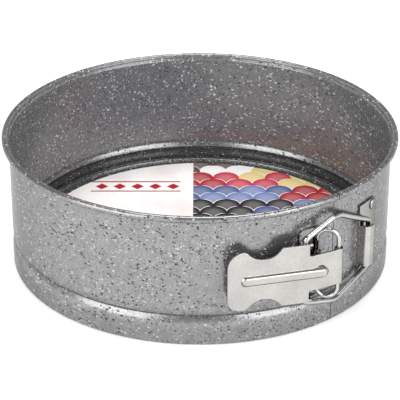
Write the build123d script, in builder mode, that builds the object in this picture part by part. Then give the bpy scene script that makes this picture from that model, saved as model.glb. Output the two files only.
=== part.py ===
from build123d import *
from math import asin, atan2, cos, degrees, hypot, radians, sin
import os

os.makedirs("parts", exist_ok=True)


# Springform pan, in millimetres. +Z is up, the origin is on the pan's axis at the resting
# plane, and the seam of the ring faces -Y. Azimuths are degrees from -Y towards +X.

# ---- overall sizes ------------------------------------------------------------------------
innerRadius = 90.0  # inside of the ring wall, an 18 cm pan
totalHeight = 65.5  # resting plane to the top of the rolled rim
ringSheet = 0.6
seamGap = 0.45

# ---- ring: rolled rim ---------------------------------------------------------------------
rimRadius = 1.55  # outside of the rolled bead
rimOffset = 2.3  # bead centre beyond the inside of the wall
rimCurlEnd = -130.0  # the roll stops just short of the wall

# ---- ring: inward ridge, shoulder, foot band and the channel curled under -----------------
ridgeHeight = 14.0
ridgeDepth = 1.6  # how far the ridge stands inside the wall
ridgeReach = 4.2  # height over which the wall runs down into the ridge
bandOffset = 0.2  # the foot band stands this far outside the wall
shoulderHeight = 9.0
channelWidth = 2.8  # inside of the channel that holds the base
channelCorner = 1.2  # sheet middle
channelLegHeight = 5.0

# ---- base ---------------------------------------------------------------------------------
baseSheet = 0.6
skirtGap = 0.75  # base skirt to foot band
skirtLift = 0.9  # base skirt above the resting plane
rimPlateauHeight = 7.8  # top of the base's raised edge
floorDrop = 1.1  # floor below the raised edge
rimPlateauWidth = 2.8
stepWidth = 1.0
baseCorner = 1.0

# ---- card insert --------------------------------------------------------------------------
cardRadius = 81.2
cardSheet = 0.5
cardGap = 0.15

# ---- latch: heights and places on the wall ------------------------------------------------
latchTopGap = 13.5  # latch plates below the top of the rim
latchFootGap = 3.4  # latch plates above the ridge
leverDrop = 0.45  # lever's middle below the plates' middle
hookDrop = 2.4  # hook's middle below the plates' middle
plateSheet = 0.9
plateCorner = 3.0
wallClearance = 0.02  # stamped plates lie this far off the coated wall

# ---- hinge: plate on the wall, and a loop of wire held in its knuckle ------------------------
pivotAzimuth = -2.7
pivotReach = 8.6  # lever pivot, the loop's outer leg, outside the wall
loopAzimuth = -6.8  # loop's inner leg
loopWireRadius = 0.95
loopExtra = 0.9  # loop taller than the plates by
bracketAzimuth = -12.4  # far edge of the bracket's plate
knuckleGap = 0.05  # knuckle's inside to the loop's wire
knuckleShort = 2.6  # knuckle's ends inside the tongue's
knuckleSweep = 250.0

# ---- lever --------------------------------------------------------------------------------
leverAngle = -26.45  # azimuth that the closed lever faces
leverSheet = 1.0
leverOffset = 4.6  # plate middle outward of the pivot
curlGap = 0.08  # running clearance of the curl on the loop's outer leg
curlSweep = 285.0
tongueLength = 14.9
tongueBend = 1.5  # the tongue's fall to the curl starts this far past the shoulder
leverShort = 5.9  # lever less tall than the plates by
tongueShare = 0.6  # tongue's height, of the lever's
neckShare = 0.68  # height between the two thumb scallops, of the lever's
shoulderLength = 12.3
scallopWidth = 16.2
thumbCorner = 7.0
lobeCorner = 3.0
stepCorner = 0.6
sameLine = 0.01  # corners this near in length are rounded alike
leverLength = 52.4
handleBend = 9.0  # length of the thumb end that leans outward
handleLean = 1.6
ribHeight = 1.2
ribWidth = 5.6
ribStart = 5.9
ribEnd = 46.4
ribDraft = 35.0  # slope of the rib's flanks from upright
earWidth = 5.2

# ---- bail ---------------------------------------------------------------------------------
wireRadius = 1.3
bailPivotX = 15.9  # from the lever pivot, along the lever
bailPivotOffset = 2.2  # outward of the lever pivot
bailHoleGap = 0.1
stubLength = 4.6
armGap = 0.35  # arm above the lever's ear
bailPeakAzimuth = -0.85
bailPeakReach = 3.6  # wire's middle outside the wall
bailPeakRise = 4.45  # wire's middle past the plates' ends
bailTaper = 10.05  # from the peak to the leg
bailLegAzimuth = 14.0
bailLegReach = 2.9
bailBend = 2.0
bailPeakBend = 9.0

# ---- catch --------------------------------------------------------------------------------
catchStart = 11.25
catchEnd = 20.4
hookReach = 4.8  # inside of the lip above the wall
hookBend = 1.8
lipLength = 2.6
hookSide = 0.2  # hook's ends to the bail's arms

# ---- rivets -------------------------------------------------------------------------------
rivetRadius = 1.5
rivetHeadRadius = 2.7
rivetHeadHeight = 0.8
rivetTailHeight = 0.5
rivetTailRadius = 2.5
rivetFit = 0.01
catchRivetAzimuth = 18.2
bracketRivetAzimuth = -9.7
catchRivetInset = 3.1  # rivet below the plate's end
bracketRivetInset = 5.7

# ---- derived sizes ------------------------------------------------------------------------
outerRadius = innerRadius + ringSheet
wallMiddle = innerRadius + ringSheet / 2
bandMiddle = wallMiddle + bandOffset
legMiddle = bandMiddle - channelWidth - ringSheet
ridgeMiddle = wallMiddle - ridgeDepth
rimCentre = (innerRadius + rimOffset, totalHeight - rimRadius)
rimMiddle = rimRadius - ringSheet / 2
skirtMiddle = bandMiddle - ringSheet / 2 - skirtGap - baseSheet / 2
plateHeight = totalHeight - latchTopGap - ridgeHeight - latchFootGap
latchHeight = ridgeHeight + latchFootGap + plateHeight / 2
plateInside = outerRadius + wallClearance
plateOutside = plateInside + plateSheet
plateMiddle = plateInside + plateSheet / 2
knuckleMiddle = loopWireRadius + knuckleGap + plateSheet / 2
loopLegRadius = plateMiddle + knuckleMiddle
curlInside = loopWireRadius + curlGap
curlMiddle = curlInside + leverSheet / 2
curlOutside = curlInside + leverSheet
pivotRadius = outerRadius + pivotReach
loopTall = plateHeight + loopExtra
leverHeight = latchHeight - leverDrop
leverTall = plateHeight - leverShort
halfLever = leverTall / 2
halfTongue = leverTall * tongueShare / 2
halfNeck = leverTall * neckShare / 2
knuckleHalf = halfTongue - knuckleShort
armHalf = halfLever + wireRadius + armGap
bailPeakHalf = plateHeight / 2 + bailPeakRise
bailEndHalf = bailPeakHalf - bailTaper
hookHeight = latchHeight - hookDrop
hookHalf = bailEndHalf - wireRadius - hookSide
catchRivetHalf = plateHeight / 2 - catchRivetInset
bracketRivetHalf = plateHeight / 2 - bracketRivetInset


def around(radius, azimuth):
    """Plan position at a radius and an azimuth."""
    return (radius * sin(radians(azimuth)), -radius * cos(radians(azimuth)))


def facing(azimuth, radius=0.0, height=latchHeight):
    """Plane that faces outward at an azimuth, X to the right and Y up."""
    x, y = around(radius, azimuth)
    right = (cos(radians(azimuth)), sin(radians(azimuth)), 0)
    outward = (*around(1.0, azimuth), 0)
    return Plane(origin=(x, y, height), x_dir=right, z_dir=outward)


pivot = around(pivotRadius, pivotAzimuth)
knuckle = around(loopLegRadius, loopAzimuth)
leverPlane = Plane(
    origin=(*pivot, leverHeight),
    x_dir=facing(leverAngle).x_dir,
    z_dir=facing(leverAngle).z_dir,
)


rivetPlaces = (
    (catchRivetAzimuth, catchRivetHalf),
    (bracketRivetAzimuth, bracketRivetHalf),
)


# ---- ring ---------------------------------------------------------------------------------
with BuildPart() as ring:
    with BuildSketch(Plane.XZ):
        with BuildLine():
            foot = channelCorner + ringSheet / 2
            legTop = (legMiddle, channelLegHeight)
            innerLeg = Line(legTop, (legMiddle, foot))
            innerCurl = TangentArc(
                innerLeg @ 1,
                (legMiddle + channelCorner, ringSheet / 2),
                tangent=(0, -1),
            )
            restFlat = Line(innerCurl @ 1, (bandMiddle - channelCorner, ringSheet / 2))
            outerCurl = TangentArc(restFlat @ 1, (bandMiddle, foot), tangent=(1, 0))
            footBand = Line(outerCurl @ 1, (bandMiddle, shoulderHeight))
            shoulder = TangentArc(footBand @ 1, (ridgeMiddle, ridgeHeight), tangent=(0, 1))
            ridgeTop = (wallMiddle, ridgeHeight + ridgeReach)
            rise = ThreePointArc(
                shoulder @ 1,
                (wallMiddle - ridgeDepth * 0.36, ridgeHeight + ridgeReach * 0.36),
                ridgeTop,
            )
            rollStart = (rimCentre[0] - rimMiddle, rimCentre[1])
            lean = rollStart[0] - wallMiddle
            wall = Line(rise @ 1, (wallMiddle, rollStart[1] - 2.6 * lean))
            halfWay = (wallMiddle + lean / 2, rollStart[1] - 1.3 * lean)
            leanOut = TangentArc(wall @ 1, halfWay, tangent=(0, 1))
            TangentArc(leanOut @ 1, rollStart, tangent=leanOut % 1)
            CenterArc(rimCentre, rimMiddle, 180, rimCurlEnd - 180)
            offset(amount=ringSheet / 2, side=Side.BOTH)
        make_face()
    revolve(axis=Axis.Z)
    with BuildSketch(Plane.XY):
        with Locations((0, -innerRadius)):
            Rectangle(seamGap, 4 * rimOffset + 4 * ridgeDepth)
    extrude(amount=totalHeight, mode=Mode.SUBTRACT)
    for azimuth, half in rivetPlaces:
        for side in (-half, half):
            with BuildSketch(facing(azimuth, innerRadius - 2, latchHeight + side)):
                Circle(rivetRadius)
            extrude(amount=5, mode=Mode.SUBTRACT)


# ---- base ---------------------------------------------------------------------------------
with BuildPart() as base:
    with BuildSketch(Plane.XZ):
        with BuildLine():
            edgeTop = rimPlateauHeight - baseSheet / 2
            floorTop = edgeTop - floorDrop
            plateauEnd = (skirtMiddle - baseCorner, edgeTop)
            plateauStart = (skirtMiddle - rimPlateauWidth, edgeTop)
            skirt = Line(
                (skirtMiddle, skirtLift + baseSheet / 2), (skirtMiddle, edgeTop - baseCorner)
            )
            corner = TangentArc(skirt @ 1, plateauEnd, tangent=(0, 1))
            plateau = Line(corner @ 1, plateauStart)
            stepHalf = (plateauStart[0] - stepWidth / 2, edgeTop - floorDrop / 2)
            stepDown = TangentArc(plateau @ 1, stepHalf, tangent=(-1, 0))
            stepFoot = (plateauStart[0] - stepWidth, floorTop)
            stepOut = TangentArc(stepDown @ 1, stepFoot, tangent=stepDown % 1)
            Line(stepOut @ 1, (0, floorTop))
            offset(amount=baseSheet / 2, side=Side.BOTH)
        make_face()
        with BuildSketch(mode=Mode.INTERSECT):
            with Locations((innerRadius / 2, 0)):
                Rectangle(innerRadius, totalHeight)
    revolve(axis=Axis.Z)


# ---- card insert --------------------------------------------------------------------------
with BuildPart() as cardInsert:
    cardBottom = rimPlateauHeight - floorDrop + cardGap
    with BuildSketch(Plane.XY.offset(cardBottom)):
        Circle(cardRadius)
    extrude(amount=cardSheet)


def wallPlate(start, end, freeSide):
    """Stamped plate on the wall between two azimuths, with rounded corners on one side."""
    middle = (start + end) / 2
    width = radians(end - start) * plateOutside
    with BuildPart(mode=Mode.PRIVATE) as plate:
        with BuildSketch(facing(middle)) as outline:
            Rectangle(width, plateHeight)
            fillet(outline.vertices().group_by(Axis.X)[freeSide], plateCorner)
        extrude(amount=plateOutside + plateSheet)
        with BuildSketch(Plane.XY):
            Circle(plateOutside)
            Circle(plateInside, mode=Mode.SUBTRACT)
        extrude(amount=totalHeight, mode=Mode.INTERSECT)
    return plate.part


# ---- hinge bracket ------------------------------------------------------------------------
# The plate's right edge is rolled outward into a knuckle round the loop's inner leg.
with BuildPart() as hingeBracket:
    add(wallPlate(bracketAzimuth, loopAzimuth, 0))
    knucklePlane = Plane(
        origin=(*knuckle, latchHeight - knuckleHalf),
        x_dir=facing(loopAzimuth).x_dir,
        z_dir=(0, 0, 1),
    )
    with BuildSketch(knucklePlane):
        with BuildLine():
            Line((-knuckleMiddle, knuckleMiddle), (0, knuckleMiddle))
            CenterArc((0, 0), knuckleMiddle, 90, -knuckleSweep)
            offset(amount=plateSheet / 2, side=Side.BOTH)
        make_face()
    extrude(amount=2 * knuckleHalf)
    for side in (-bracketRivetHalf, bracketRivetHalf):
        with BuildSketch(facing(bracketRivetAzimuth, innerRadius, latchHeight + side)):
            Circle(rivetRadius)
        extrude(amount=4 * plateSheet, mode=Mode.SUBTRACT)


# ---- hinge loop ---------------------------------------------------------------------------
# A closed loop with two upright legs: the inner one in the knuckle, the outer one in the lever.
with BuildPart() as hingeLoop:
    loopHalf = hypot(pivot[0] - knuckle[0], pivot[1] - knuckle[1]) / 2
    legHalf = loopTall / 2 - loopWireRadius - loopHalf
    loopPlane = Plane(
        origin=((pivot[0] + knuckle[0]) / 2, (pivot[1] + knuckle[1]) / 2, latchHeight),
        x_dir=(pivot[0] - knuckle[0], pivot[1] - knuckle[1], 0),
        z_dir=(pivot[1] - knuckle[1], knuckle[0] - pivot[0], 0),
    )
    for side in (-loopHalf, loopHalf):
        leg = Plane(loopPlane.from_local_coords((side, -legHalf, 0)), z_dir=(0, 0, 1))
        with BuildSketch(leg):
            Circle(loopWireRadius)
        extrude(amount=2 * legHalf)
    for end, turn in ((legHalf, -180), (-legHalf, 180)):
        root = loopPlane.from_local_coords((-loopHalf, end, 0))
        middle = loopPlane.from_local_coords((0, end, 0))
        with BuildSketch(Plane(root, z_dir=(0, 0, 1))):
            Circle(loopWireRadius)
        revolve(axis=Axis(middle, loopPlane.z_dir), revolution_arc=turn)


# ---- lever --------------------------------------------------------------------------------
# The sheet is curled and bent as seen from above, then cut to its scalloped outline. X runs
# from the thumb end to the tongue, and the outline's plane faces away from the pan.
leverSide = Plane(
    origin=(*pivot, leverHeight),
    x_dir=leverPlane.x_dir,
    z_dir=(0, 0, -1),
)
with BuildPart() as lever:
    with BuildSketch(leverSide.offset(-leverTall)):
        with BuildLine():
            thumbEnd = (-leverLength - leverSheet, leverOffset + handleLean)
            thumbRoot = (handleBend - leverLength, leverOffset)
            TangentArc(thumbRoot, thumbEnd, tangent=(-1, 0))
            flatEnd = (tongueBend - tongueLength, leverOffset)
            Line(thumbRoot, flatEnd)
            reach = hypot(*flatEnd)
            slope = degrees(atan2(leverOffset, -flatEnd[0]) - asin(curlMiddle / reach))
            touch = (curlMiddle * sin(radians(slope)), curlMiddle * cos(radians(slope)))
            Line(flatEnd, touch)
            CenterArc((0, 0), curlMiddle, 90 - slope, -curlSweep)
            offset(amount=leverSheet / 2, side=Side.BOTH)
        make_face()
    extrude(amount=2 * leverTall)
    with BuildSketch(leverPlane.offset(-curlOutside)) as outline:
        with BuildLine():
            shoulderEnd = tongueLength + shoulderLength
            tongueEdge = Polyline(
                (curlOutside + curlGap, 0),
                (curlOutside + curlGap, halfTongue),
                (-tongueLength, halfTongue),
                (-tongueLength, halfLever),
                (-shoulderEnd, halfLever),
            )
            lobeStart = (-shoulderEnd - scallopWidth, halfLever)
            ThreePointArc(tongueEdge @ 1, (-shoulderEnd - scallopWidth / 2, halfNeck), lobeStart)
            Polyline(lobeStart, (-leverLength, halfLever), (-leverLength, 0))
            mirror(about=Plane.XZ)
        make_face()
        for place, radius in (
            (-leverLength, thumbCorner),
            (lobeStart[0], lobeCorner),
            (-shoulderEnd, stepCorner),
            (-tongueLength, stepCorner),
        ):
            line = outline.vertices().filter_by_position(Axis.X, place - sameLine, place + sameLine)
            fillet(line.filter_by(lambda corner: abs(corner.Y) > stepCorner), radius)
    extrude(amount=4 * leverOffset, mode=Mode.INTERSECT)
    for side in (-1, 1):
        with BuildSketch(leverSide.offset(side * (halfLever - leverSheet / 2))):
            with Locations((-bailPivotX, (bailPivotOffset + leverOffset) / 2)):
                Rectangle(earWidth, leverOffset - bailPivotOffset)
            with Locations((-bailPivotX, bailPivotOffset)):
                Circle(earWidth / 2)
                Circle(wireRadius + bailHoleGap, mode=Mode.SUBTRACT)
        extrude(amount=leverSheet / 2, both=True)
    with BuildSketch(leverPlane.offset(leverOffset)):
        with Locations((-(ribStart + ribEnd) / 2, 0)):
            SlotOverall(ribEnd - ribStart, ribWidth)
    extrude(amount=leverSheet / 2 + ribHeight, taper=ribDraft)
    ribTop = lever.faces().sort_by(Axis(leverPlane.origin, leverPlane.z_dir))[-1]
    fillet(ribTop.edges(), ribHeight)
    with BuildSketch(leverPlane.offset(leverOffset - leverSheet / 2)):
        with Locations((-(ribStart + ribEnd) / 2 - leverSheet, 0)):
            SlotOverall(ribEnd - ribStart - 4 * leverSheet, ribWidth - 2 * leverSheet)
    extrude(amount=ribHeight, mode=Mode.SUBTRACT)


# ---- bail ---------------------------------------------------------------------------------
bailPivot = leverPlane.from_local_coords((-bailPivotX, 0, bailPivotOffset))
bailPeak = around(outerRadius + bailPeakReach, bailPeakAzimuth)
bailLeg = around(outerRadius + bailLegReach, bailLegAzimuth)
wireCorners = [
    (bailPivot.X, bailPivot.Y, leverHeight, armHalf - stubLength),
    (bailPivot.X, bailPivot.Y, leverHeight, armHalf),
    (*bailPeak, latchHeight, bailPeakHalf),
    (*bailLeg, hookHeight, bailEndHalf),
]
wirePoints = [(x, y, middle + half) for x, y, middle, half in wireCorners]
wirePoints += [(x, y, middle - half) for x, y, middle, half in reversed(wireCorners)]
with BuildPart() as bail:
    with BuildLine() as wire:
        bends = (bailBend, bailPeakBend, bailBend, bailBend, bailPeakBend, bailBend)
        FilletPolyline(*wirePoints, radius=bends)
    with BuildSketch(Plane(origin=wire.line @ 0, z_dir=wire.line % 0)):
        Circle(wireRadius)
    sweep()


# ---- catch --------------------------------------------------------------------------------
# The plate's left edge stands up from the wall and its middle turns back over the bail's leg.
with BuildPart() as catch:
    add(wallPlate(catchStart, catchEnd, -1))
    hookPlane = Plane(
        origin=(0, 0, hookHeight - hookHalf),
        x_dir=facing(catchStart).x_dir,
        z_dir=(0, 0, 1),
    )
    with BuildSketch(hookPlane):
        with BuildLine():
            lipHeight = plateInside + hookReach + plateSheet / 2
            root = (plateSheet / 2, -plateInside - plateSheet / 2)
            upstand = Line(root, (plateSheet / 2, hookBend - lipHeight))
            bendEnd = (plateSheet / 2 + hookBend, -lipHeight)
            hookCurve = TangentArc(upstand @ 1, bendEnd, tangent=(0, -1))
            Line(hookCurve @ 1, (bendEnd[0] + lipLength, -lipHeight))
            offset(amount=plateSheet / 2, side=Side.BOTH, kind=Kind.INTERSECTION)
        make_face()
    extrude(amount=2 * hookHalf)
    for side in (-catchRivetHalf, catchRivetHalf):
        with BuildSketch(facing(catchRivetAzimuth, innerRadius, latchHeight + side)):
            Circle(rivetRadius)
        extrude(amount=4 * plateSheet, mode=Mode.SUBTRACT)


def rivetPair(azimuth, half):
    """Two rivets, one above and one below the middle of a plate."""
    with BuildPart(mode=Mode.PRIVATE) as rivets:
        for side in (-half, half):
            seat = facing(azimuth, plateOutside, latchHeight + side)
            tail = facing(azimuth, innerRadius, latchHeight + side)
            tailDip = innerRadius - (innerRadius**2 - rivetTailRadius**2) ** 0.5
            with BuildSketch(tail.offset(-tailDip - rivetTailHeight)):
                Circle(rivetRadius - rivetFit)
            extrude(amount=plateOutside - innerRadius + tailDip + rivetTailHeight)
            with BuildSketch(tail.offset(-tailDip - rivetTailHeight)):
                Circle(rivetTailRadius)
            extrude(amount=rivetTailHeight)
            with BuildSketch(seat):
                Circle(rivetHeadRadius)
            extrude(amount=rivetHeadHeight)
            outward = Axis((0, 0, 0), seat.z_dir)
            dome = rivets.solids().sort_by(Axis.Z)[-1].faces().sort_by(outward)[-1]
            fillet(dome.edges(), rivetHeadHeight * 0.85)
    return rivets.part


# ---- rivets -------------------------------------------------------------------------------
with BuildPart() as catchRivets:
    add(rivetPair(catchRivetAzimuth, catchRivetHalf))
with BuildPart() as bracketRivets:
    add(rivetPair(bracketRivetAzimuth, bracketRivetHalf))


pieces = {
    "ring": ring,
    "base": base,
    "card_insert": cardInsert,
    "hinge_bracket": hingeBracket,
    "bracket_rivets": bracketRivets,
    "hinge_loop": hingeLoop,
    "lever": lever,
    "bail": bail,
    "catch": catch,
    "catch_rivets": catchRivets,
}
for name, piece in pieces.items():
    piece.part.label = name
    export_step(piece.part, f"parts/{name}.step")
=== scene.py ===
from math import cos, radians, sin

import bpy
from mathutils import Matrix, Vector

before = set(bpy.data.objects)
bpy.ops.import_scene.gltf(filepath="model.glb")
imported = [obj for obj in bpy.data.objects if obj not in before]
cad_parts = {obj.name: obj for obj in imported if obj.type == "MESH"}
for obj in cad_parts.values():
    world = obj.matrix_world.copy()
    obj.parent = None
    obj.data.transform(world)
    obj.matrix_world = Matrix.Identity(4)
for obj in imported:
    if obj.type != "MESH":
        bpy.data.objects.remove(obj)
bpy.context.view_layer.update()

print("stage: frame loaded")

camera = {
    "azimuth": -40.75,  # degrees, to the left of the seam
    "elevation": 26.6,
    "distance": 0.8577,
    "aimHeight": 0.032,  # of the point it looks at, on the pan's axis
    "lens": 159.9,
    "sensor": 36.0,
    "shiftY": -0.0248,
    "clip": (0.01, 50.0),
}


# puts a camera or a lamp round the pan, turned to a point on the pan's axis
def placeAround(name, data, settings, aimHeight):
    azimuth = radians(settings["azimuth"])
    elevation = radians(settings["elevation"])
    away = Vector((sin(azimuth) * cos(elevation), -cos(azimuth) * cos(elevation), sin(elevation)))
    placed = bpy.data.objects.new(name, data)
    placed.location = Vector((0.0, 0.0, aimHeight)) + away * settings["distance"]
    placed.rotation_euler = (-away).to_track_quat("-Z", "Y").to_euler()
    bpy.context.scene.collection.objects.link(placed)
    return placed


def addCamera():
    data = bpy.data.cameras.new("viewCamera")
    data.lens = camera["lens"]
    data.sensor_width = camera["sensor"]
    data.shift_y = camera["shiftY"]
    data.clip_start, data.clip_end = camera["clip"]
    bpy.context.scene.camera = placeAround("viewCamera", data, camera, camera["aimHeight"])


addCamera()
print("stage: camera set")


def startMaterial(name):
    material = bpy.data.materials.new(name)
    material.use_nodes = True
    return material, material.node_tree, material.node_tree.nodes["Principled BSDF"]


# a number or a colour is set on the socket, anything else is linked to it
def setInput(tree, socket, value):
    if isinstance(value, (int, float)):
        socket.default_value = value
    elif isinstance(value, tuple):
        socket.default_value = (*value, 1.0) if len(socket.default_value) == 4 else value
    else:
        tree.links.new(value, socket)


def addMath(tree, operation, first, second=0.0):
    node = tree.nodes.new("ShaderNodeMath")
    node.operation = operation
    setInput(tree, node.inputs[0], first)
    setInput(tree, node.inputs[1], second)
    return node.outputs[0]


def addVectorMath(tree, operation, *values):
    node = tree.nodes.new("ShaderNodeVectorMath")
    node.operation = operation
    for socket, value in zip(node.inputs, values):
        setInput(tree, socket, value)
    return node


def addMix(tree, factor, first, second):
    node = tree.nodes.new("ShaderNodeMix")
    node.data_type = "RGBA"
    setInput(tree, node.inputs["Factor"], factor)
    setInput(tree, node.inputs[6], first)
    setInput(tree, node.inputs[7], second)
    return node.outputs[2]


def addRange(tree, value, low, high, outLow=0.0, outHigh=1.0):
    node = tree.nodes.new("ShaderNodeMapRange")
    limits = {"Value": value, "From Min": low, "From Max": high, "To Min": outLow, "To Max": outHigh}
    for name, limit in limits.items():
        setInput(tree, node.inputs[name], limit)
    return node.outputs["Result"]


def addNoise(tree, coords, size, detail=2.0, roughness=0.5):
    node = tree.nodes.new("ShaderNodeTexNoise")
    node.inputs["Scale"].default_value = 1.0 / size
    node.inputs["Detail"].default_value = detail
    node.inputs["Roughness"].default_value = roughness
    tree.links.new(coords, node.inputs["Vector"])
    return node


def addTurn(tree, coords, turn, stretch=(1.0, 1.0, 1.0)):
    node = tree.nodes.new("ShaderNodeMapping")
    node.inputs["Rotation"].default_value = tuple(radians(angle) for angle in turn)
    node.inputs["Scale"].default_value = stretch
    tree.links.new(coords, node.inputs["Vector"])
    return node.outputs["Vector"]


# fine relief from a grain, on top of a normal where one is given
def addRelief(tree, surface, grain, strength, depth, normal=None):
    bump = tree.nodes.new("ShaderNodeBump")
    bump.inputs["Strength"].default_value = strength
    bump.inputs["Distance"].default_value = depth
    tree.links.new(grain, bump.inputs["Height"])
    if normal:
        tree.links.new(normal, bump.inputs["Normal"])
    tree.links.new(bump.outputs["Normal"], surface.inputs["Normal"])


# most of a noise lies between 0.3 and 0.7
def addRoughness(tree, surface, grain, smooth, rough):
    tree.links.new(addRange(tree, grain, 0.3, 0.7, smooth, rough), surface.inputs["Roughness"])


coating = {
    "ground": (0.240, 0.240, 0.244),
    "innerGround": (0.195, 0.195, 0.199),
    "mottle": 0.27,  # how far the ground wanders
    "mottleFrom": (0.45, 0.95),  # tones between which it does
    "grainSize": 0.0010,
    "cloudSize": 0.0045,
    "cloudShare": 0.4,  # of the grain's strength
    "lightFleck": (0.41, 0.41, 0.41),
    "innerLightFleck": (0.50, 0.50, 0.50),
    "darkFleck": (0.030, 0.030, 0.034),
    # size of the cells, share of them with a fleck, its reach in the cell, a layer for each turn
    "lightFlecks": (
        {"size": 0.0013, "share": 0.30, "reach": 0.36, "turns": ((0, 0, 0), (60, 20, 45))},
        {"size": 0.00221, "share": 0.16, "reach": 0.28, "turns": ((20, 70, 10),)},
    ),
    "darkFlecks": (
        {"size": 0.00145, "share": 0.36, "reach": 0.33, "turns": ((35, 0, 80), (0, 65, 20), (80, 40, 0))},
    ),
    "smallest": 0.55,  # smallest fleck, of the largest in its layer
    "solid": 0.75,  # part of a fleck inside its soft edge
    "stretch": 0.42,  # draws the flecks out along one direction
    "wobble": 0.0014,  # how far the flecks' edges wander
    "wobbleSize": 0.0012,
    "patchSize": 0.011,  # flecks gather in patches
    "patchFrom": (0.32, 0.68),
    "patchShares": (0.35, 1.65),  # of the flecks' own share
    "metallic": 0.80,
    "innerMetallic": 0.40,  # the inside of the wall is duller
    "ridgeHighlightFade": (0.016, 0.022),  # heights between which the duller, darker inside begins, above the ridge; below them the ridge keeps the lighter, more metallic outer ground as a painted highlight
    "inwardFrom": (-0.07, -0.03),  # distance from the axis times how far the surface faces outward
    "edgeTint": (0.50, 0.50, 0.50),  # keeps the grazing edges from going white
    "roughness": (0.195, 0.295),
    "relief": 0.22,
    "reliefDepth": 0.0002,
}


# flecks are the middles of a few cells, with a soft edge
def addFlecks(tree, coords, kind, turn, patches):
    cells = tree.nodes.new("ShaderNodeTexVoronoi")
    cells.inputs["Scale"].default_value = 1.0 / kind["size"]
    turned = addTurn(tree, coords, turn, (1.0, coating["stretch"], 1.0))
    tree.links.new(turned, cells.inputs["Vector"])
    draw = tree.nodes.new("ShaderNodeSeparateColor")
    tree.links.new(cells.outputs["Color"], draw.inputs["Color"])
    share = addMath(tree, "MULTIPLY", patches, kind["share"])
    picked = addMath(tree, "LESS_THAN", draw.outputs["Red"], share)
    smallest = kind["reach"] * coating["smallest"]
    edge = addRange(tree, draw.outputs["Green"], 0.0, 1.0, smallest, kind["reach"])
    softFrom = addMath(tree, "MULTIPLY", edge, coating["solid"])
    middle = addRange(tree, cells.outputs["Distance"], softFrom, edge, 1.0, 0.0)
    return addMath(tree, "MULTIPLY", picked, middle)


# 1 on the inside of the wall above the ridge, where the surface faces the pan's axis; 0 on the ridge,
# which keeps the lighter outer ground as a painted highlight
def facesInward(tree, texture):
    place = texture.outputs["Object"]
    fromAxis = addVectorMath(tree, "MULTIPLY", place, (1.0, 1.0, 0.0)).outputs["Vector"]
    outward = addVectorMath(tree, "DOT_PRODUCT", fromAxis, texture.outputs["Normal"]).outputs["Value"]
    facing = addRange(tree, outward, *coating["inwardFrom"], 1.0, 0.0)
    height = tree.nodes.new("ShaderNodeSeparateXYZ")
    tree.links.new(place, height.inputs["Vector"])
    above = addRange(tree, height.outputs["Z"], *coating["ridgeHighlightFade"])
    return addMath(tree, "MULTIPLY", facing, above)


def makeCoating():
    material, tree, surface = startMaterial("speckledCoating")
    texture = tree.nodes.new("ShaderNodeTexCoord")
    place = texture.outputs["Object"]
    inward = facesInward(tree, texture)

    grain = addNoise(tree, place, coating["grainSize"], 3.0, 0.6).outputs["Fac"]
    cloud = addNoise(tree, place, coating["cloudSize"]).outputs["Fac"]
    tone = addMath(tree, "ADD", grain, addMath(tree, "MULTIPLY", cloud, coating["cloudShare"]))
    darkest, lightest = 1.0 - coating["mottle"], 1.0 + coating["mottle"]
    mottle = addRange(tree, tone, *coating["mottleFrom"], darkest, lightest)
    # on the inner ridge the lighter outer ground stays, a painted highlight brightening the ridge's
    # reflection
    ground = addMix(tree, inward, coating["ground"], coating["innerGround"])
    shade = addVectorMath(tree, "SCALE", ground)
    tree.links.new(mottle, shade.inputs["Scale"])
    colour = shade.outputs["Vector"]

    wobble = addNoise(tree, place, coating["wobbleSize"], 1.0).outputs["Color"]
    bent = addVectorMath(tree, "MULTIPLY_ADD", wobble, (coating["wobble"],) * 3, place).outputs["Vector"]
    drift = addNoise(tree, place, coating["patchSize"]).outputs["Fac"]
    patches = addRange(tree, drift, *coating["patchFrom"], *coating["patchShares"])
    pale = addMix(tree, inward, coating["lightFleck"], coating["innerLightFleck"])
    covered = 0.0
    for kinds, tint in (("lightFlecks", pale), ("darkFlecks", coating["darkFleck"])):
        for kind in coating[kinds]:
            for turn in kind["turns"]:
                fleck = addFlecks(tree, bent, kind, turn, patches)
                colour = addMix(tree, fleck, colour, tint)
                covered = addMath(tree, "MAXIMUM", covered, fleck)
    tree.links.new(colour, surface.inputs["Base Color"])

    # the flecks are paint on a metallic ground
    metal = addRange(tree, inward, 0.0, 1.0, coating["metallic"], coating["innerMetallic"])
    tree.links.new(addRange(tree, covered, 0.0, 1.0, metal, 0.0), surface.inputs["Metallic"])
    surface.inputs["Specular Tint"].default_value = (*coating["edgeTint"], 1.0)
    addRoughness(tree, surface, grain, *coating["roughness"])
    addRelief(tree, surface, grain, coating["relief"], coating["reliefDepth"])
    return material


speckled = makeCoating()
print("stage: coating made")

steel = {
    "grainSize": 0.0008,
    "smearSize": 0.010,
    "toneFrom": (0.10, 0.40),  # from dull to bright
    "roughnessShares": (0.85, 1.2),  # of each kind's roughness
    "edgeTint": (0.12, 0.12, 0.12),  # dark where it turns away
    "relief": 0.05,
    "reliefDepth": 0.0001,
    "edgeSamples": 6,
    # edge is the radius that the light sees on the cut edges
    "plate": {
        "bright": (0.47, 0.457, 0.438),
        "dull": (0.36, 0.35, 0.335),
        "roughness": 0.22,
        "edge": 0.0004,
    },
    # the bracket is a darker copy of the plate steel: painted shade and painted dark reflection, for its
    # place behind the lever and under the bail
    "bracket": {
        "bright": (0.34, 0.33, 0.32),
        "dull": (0.20, 0.195, 0.19),
        "roughness": 0.20,
        "edge": 0.0003,
    },
    "wire": {
        "bright": (0.52, 0.52, 0.51),
        "dull": (0.38, 0.38, 0.37),
        "roughness": 0.07,
        "edge": 0.0001,
    },
    "rivet": {
        "bright": (0.42, 0.42, 0.41),
        "dull": (0.30, 0.30, 0.29),
        "roughness": 0.20,
        "edge": 0.0002,
    },
}


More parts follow.
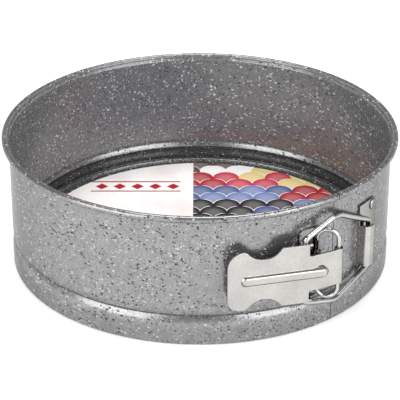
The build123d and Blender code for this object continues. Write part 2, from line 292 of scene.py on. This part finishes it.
def makeSteel(kind):
    finish = steel[kind]
    material, tree, surface = startMaterial(kind + "Steel")
    place = tree.nodes.new("ShaderNodeTexCoord").outputs["Object"]
    grain = addNoise(tree, place, steel["grainSize"], 3.0).outputs["Fac"]
    smear = addNoise(tree, place, steel["smearSize"], 3.0).outputs["Fac"]
    tone = addRange(tree, addMath(tree, "MULTIPLY", grain, smear), *steel["toneFrom"])
    tree.links.new(addMix(tree, tone, finish["dull"], finish["bright"]), surface.inputs["Base Color"])
    surface.inputs["Metallic"].default_value = 1.0
    surface.inputs["Specular Tint"].default_value = (*steel["edgeTint"], 1.0)
    smooth, rough = (finish["roughness"] * share for share in steel["roughnessShares"])
    addRoughness(tree, surface, grain, smooth, rough)
    edge = tree.nodes.new("ShaderNodeBevel")
    edge.samples = steel["edgeSamples"]
    edge.inputs["Radius"].default_value = finish["edge"]
    rounded = edge.outputs["Normal"]
    addRelief(tree, surface, grain, steel["relief"], steel["reliefDepth"], rounded)
    return material


plateSteel = makeSteel("plate")
# darker steel for the bracket, painted shade behind the lever
shadedBracketSteel = makeSteel("bracket")
wireSteel = makeSteel("wire")
rivetSteel = makeSteel("rivet")
print("stage: latch steels made")

card = {
    "turn": -40.75,  # the print reads upright from this azimuth
    "panelEdge": -0.0035,  # right edge of the plain panel
    "washSize": 0.028,
    "washFrom": (0.45, 0.72),  # from cream to blush on the panel
    "fibreSize": 0.0006,
    "fibreFrom": (0.35, 0.75),
    "fibreTint": 0.12,
    "gloss": 0.14,
    "roughness": (0.35, 0.45),
    "inks": {
        "cream": (0.95, 0.93, 0.91),
        "blush": (0.86, 0.76, 0.76),
        "red": (0.40, 0.010, 0.024),
        "rose": (0.55, 0.035, 0.070),
        "blue": (0.070, 0.105, 0.270),
        "paleBlue": (0.17, 0.23, 0.45),
        "black": (0.010, 0.008, 0.013),
        "yellow": (0.78, 0.62, 0.24),
        "brown": (0.10, 0.055, 0.040),
    },
    "scaleWidth": 0.0135,
    "scaleRadius": 0.505,  # of the width
    "scaleRim": 1.06,  # pale rim's radius, of the scale's own
    "heart": 0.14,  # how pale the middle of a scale is
    "heartFrom": (0.35, 0.9),  # where it fades, of the radius
    "rowStep": 0.0078,
    "farRow": 0.0790,
    "farColumn": 0.075,
    "placeShare": 0.65,  # how far a scale's place moves it through the inks
    "drawShare": 0.3,  # how far its own draw does
    # distance from the middle where a zone begins, and where each of its inks starts, from the left
    "scaleZones": (
        (0.066, (("brown", 0.0), ("cream", 0.30), ("yellow", 0.50), ("cream", 0.74))),
        (0.051, (("red", 0.0), ("rose", 0.28), ("yellow", 0.48), ("cream", 0.66))),
        (0.036, (("blue", 0.0), ("paleBlue", 0.24), ("blue", 0.40), ("red", 0.60))),
        (0.000, (("black", 0.0), ("blue", 0.26), ("black", 0.44), ("paleBlue", 0.60))),
    ),
    "stripEnds": (-0.056, -0.010),
    "stripRules": ((0.0475, 0.0487), (0.0583, 0.0595)),  # lower and upper edge of each ruled line
    "stripMiddle": 0.0535,
    "diamondStep": 0.0092,
    "diamondReach": 0.36,  # half a diamond's width, of the step
}


# a band between two lines across one coordinate
def addBand(tree, value, low, high):
    above = addMath(tree, "GREATER_THAN", value, low)
    below = addMath(tree, "LESS_THAN", value, high)
    return addMath(tree, "MULTIPLY", above, below)


def addInkRamp(tree, along, stops):
    ramp = tree.nodes.new("ShaderNodeValToRGB")
    ramp.color_ramp.interpolation = "CONSTANT"
    elements = ramp.color_ramp.elements
    for order, (ink, position) in enumerate(stops):
        stop = elements[order] if order < 2 else elements.new(position)  # a new ramp has two
        stop.position = position
        stop.color = (*card["inks"][ink], 1.0)
    tree.links.new(along, ramp.inputs["Fac"])
    return ramp.outputs["Color"]


# ink of one scale, from the place of its middle and a draw of its own
def pickInk(tree, middleAcross, middleUp):
    spot = tree.nodes.new("ShaderNodeCombineXYZ")
    tree.links.new(middleAcross, spot.inputs["X"])
    tree.links.new(middleUp, spot.inputs["Y"])
    draw = tree.nodes.new("ShaderNodeTexWhiteNoise")
    draw.noise_dimensions = "2D"
    tree.links.new(spot.outputs["Vector"], draw.inputs["Vector"])
    placed = addRange(tree, middleAcross, card["panelEdge"], card["farColumn"], 0.0, card["placeShare"])
    drawn = addMath(tree, "MULTIPLY", draw.outputs["Value"], card["drawShare"])
    along = addMath(tree, "ADD", placed, drawn)
    away = addMath(tree, "ABSOLUTE", middleUp)
    middleZone, *outerZones = reversed(card["scaleZones"])
    colour = addInkRamp(tree, along, middleZone[1])
    for nearest, stops in outerZones:
        inZone = addMath(tree, "GREATER_THAN", away, nearest)
        colour = addMix(tree, inZone, colour, addInkRamp(tree, along, stops))
    return colour


# rows of overlapping scales with pale rims, each row over the one behind it
def addScales(tree, across, up, colour):
    width, step, farRow = card["scaleWidth"], card["rowStep"], card["farRow"]
    radius = card["scaleRadius"] * width
    heartFrom, heartTo = (radius * share for share in card["heartFrom"])
    nearer = addMath(tree, "SUBTRACT", farRow + radius, up)
    front = addMath(tree, "FLOOR", addMath(tree, "DIVIDE", nearer, step))
    for behind in (1, 0):
        row = addMath(tree, "SUBTRACT", front, behind)
        shift = addMath(tree, "MULTIPLY", addMath(tree, "PINGPONG", row, 1.0), 0.5)  # every other row
        place = addMath(tree, "SUBTRACT", addMath(tree, "DIVIDE", across, width), shift)
        column = addMath(tree, "ADD", addMath(tree, "ROUND", place), shift)
        middleAcross = addMath(tree, "MULTIPLY", column, width)
        middleUp = addMath(tree, "SUBTRACT", farRow, addMath(tree, "MULTIPLY", row, step))
        aside = addMath(tree, "SUBTRACT", across, middleAcross)
        above = addMath(tree, "SUBTRACT", up, middleUp)
        asideSquare = addMath(tree, "MULTIPLY", aside, aside)
        aboveSquare = addMath(tree, "MULTIPLY", above, above)
        distance = addMath(tree, "SQRT", addMath(tree, "ADD", asideSquare, aboveSquare))
        heart = addRange(tree, distance, heartFrom, heartTo, card["heart"], 0.0)
        scale = addMix(tree, heart, pickInk(tree, middleAcross, middleUp), card["inks"]["cream"])
        inRim = addMath(tree, "LESS_THAN", distance, radius * card["scaleRim"])
        colour = addMix(tree, inRim, colour, card["inks"]["cream"])
        colour = addMix(tree, addMath(tree, "LESS_THAN", distance, radius), colour, scale)
    return colour


# plain panel with a ruled strip of diamonds
def addPanel(tree, place, across, up, colour):
    inks, step = card["inks"], card["diamondStep"]
    wash = addNoise(tree, place, card["washSize"]).outputs["Fac"]
    paper = addMix(tree, addRange(tree, wash, *card["washFrom"]), inks["cream"], inks["blush"])
    inStrip = addBand(tree, across, *card["stripEnds"])
    for low, high in card["stripRules"]:
        rule = addMath(tree, "MULTIPLY", inStrip, addBand(tree, up, low, high))
        paper = addMix(tree, rule, paper, inks["red"])
    along = addMath(tree, "FRACT", addMath(tree, "DIVIDE", across, step))
    aside = addMath(tree, "ABSOLUTE", addMath(tree, "SUBTRACT", along, 0.5))
    fromMiddle = addMath(tree, "SUBTRACT", up, card["stripMiddle"])
    above = addMath(tree, "ABSOLUTE", addMath(tree, "DIVIDE", fromMiddle, step))
    inDiamond = addMath(tree, "LESS_THAN", addMath(tree, "ADD", aside, above), card["diamondReach"])
    paper = addMix(tree, addMath(tree, "MULTIPLY", inStrip, inDiamond), paper, inks["red"])
    return addMix(tree, addMath(tree, "LESS_THAN", across, card["panelEdge"]), colour, paper)


def makeCard():
    material, tree, surface = startMaterial("printedCard")
    place = tree.nodes.new("ShaderNodeTexCoord").outputs["Object"]
    turned = tree.nodes.new("ShaderNodeSeparateXYZ")
    tree.links.new(addTurn(tree, place, (0, 0, -card["turn"])), turned.inputs["Vector"])
    across, up = turned.outputs["X"], turned.outputs["Y"]
    colour = addScales(tree, across, up, card["inks"]["cream"])
    colour = addPanel(tree, place, across, up, colour)
    fibre = addNoise(tree, place, card["fibreSize"], 3.0).outputs["Fac"]
    tint = addRange(tree, fibre, *card["fibreFrom"], 0.0, card["fibreTint"])
    tree.links.new(addMix(tree, tint, colour, card["inks"]["brown"]), surface.inputs["Base Color"])
    surface.inputs["Specular IOR Level"].default_value = card["gloss"]
    addRoughness(tree, surface, fibre, *card["roughness"])
    return material


printedCard = makeCard()
print("stage: card printed")

finishes = {
    "ring": speckled,
    "base": speckled,
    "card_insert": printedCard,
    "hinge_bracket": shadedBracketSteel,
    "lever": plateSteel,
    "catch": plateSteel,
    "hinge_loop": wireSteel,
    "bail": wireSteel,
    "bracket_rivets": rivetSteel,
    "catch_rivets": rivetSteel,
}
for node, material in finishes.items():
    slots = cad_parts[node].data.materials
    slots.clear()
    slots.append(material)
print("stage: finishes on")

studio = {
    "worldLevel": 0.50,
    "roomLevel": 0.28,  # what polished metal sees above the white sweep
    "sweep": (0.10, 0.55),  # heights of the view between which the sweep turns into the room
    "backdrop": (1.0, 1.0, 1.0),
    "floorColour": (0.86, 0.86, 0.86),
    "floorLift": 0.27,
    "floorHalf": 6.0,
    "floorRoughness": 0.9,
    "floorGap": 0.0002,  # below the pan's foot
    "lampAim": 0.03,
    "lamps": {
        "left": {"power": 13.5, "size": 1.05, "azimuth": -90.0, "elevation": 26.0, "distance": 1.35},
        "right": {"power": 13.5, "size": 1.05, "azimuth": 6.0, "elevation": 26.0, "distance": 1.35},
        "top": {"power": 14.0, "size": 0.9, "azimuth": 139.0, "elevation": 76.0, "distance": 1.5},
    },
}


# the light path, and 1 for the rays that metal or glass has turned
def addMirroredRays(tree):
    path = tree.nodes.new("ShaderNodeLightPath")
    mirrored = addMath(tree, "MAXIMUM", path.outputs["Is Glossy Ray"], path.outputs["Is Transmission Ray"])
    return path, mirrored


def addFloor():
    half = studio["floorHalf"]
    corners = [(-half, -half, 0), (half, -half, 0), (half, half, 0), (-half, half, 0)]
    mesh = bpy.data.meshes.new("floor")
    mesh.from_pydata(corners, [], [(0, 1, 2, 3)])
    floor = bpy.data.objects.new("floor", mesh)
    floor.location.z = -studio["floorGap"]
    bpy.context.scene.collection.objects.link(floor)
    material, tree, surface = startMaterial("paleFloor")
    surface.inputs["Base Color"].default_value = (*studio["floorColour"], 1.0)
    surface.inputs["Roughness"].default_value = studio["floorRoughness"]
    surface.inputs["Specular IOR Level"].default_value = 0.0
    surface.inputs["Emission Color"].default_value = (*studio["backdrop"], 1.0)
    path, mirrored = addMirroredRays(tree)
    seen = addMath(tree, "MAXIMUM", path.outputs["Is Camera Ray"], mirrored)
    lift = addMath(tree, "MULTIPLY", seen, studio["floorLift"])
    tree.links.new(lift, surface.inputs["Emission Strength"])
    mesh.materials.append(material)


def addSky():
    world = bpy.data.worlds.new("studio")
    bpy.context.scene.world = world
    world.use_nodes = True
    tree = world.node_tree
    sky = tree.nodes["Background"]
    height = tree.nodes.new("ShaderNodeSeparateXYZ")
    tree.links.new(tree.nodes.new("ShaderNodeTexCoord").outputs["Generated"], height.inputs["Vector"])
    path, mirrored = addMirroredRays(tree)
    sweep = addRange(tree, height.outputs["Z"], *studio["sweep"], 1.0, studio["roomLevel"])
    level = addRange(tree, mirrored, 0.0, 1.0, studio["worldLevel"], sweep)
    level = addRange(tree, path.outputs["Is Camera Ray"], 0.0, 1.0, level, 1.0)
    tree.links.new(level, sky.inputs["Strength"])
    sky.inputs["Color"].default_value = (*studio["backdrop"], 1.0)


def addLamp(name, settings):
    data = bpy.data.lights.new(name, "AREA")
    data.energy = settings["power"]
    data.size = settings["size"]
    placeAround(name, data, settings, studio["lampAim"])


addFloor()
addSky()
for lampName, lampSettings in studio["lamps"].items():
    addLamp(lampName, lampSettings)
bpy.context.scene.view_settings.view_transform = "Standard"
print("stage: studio lit")
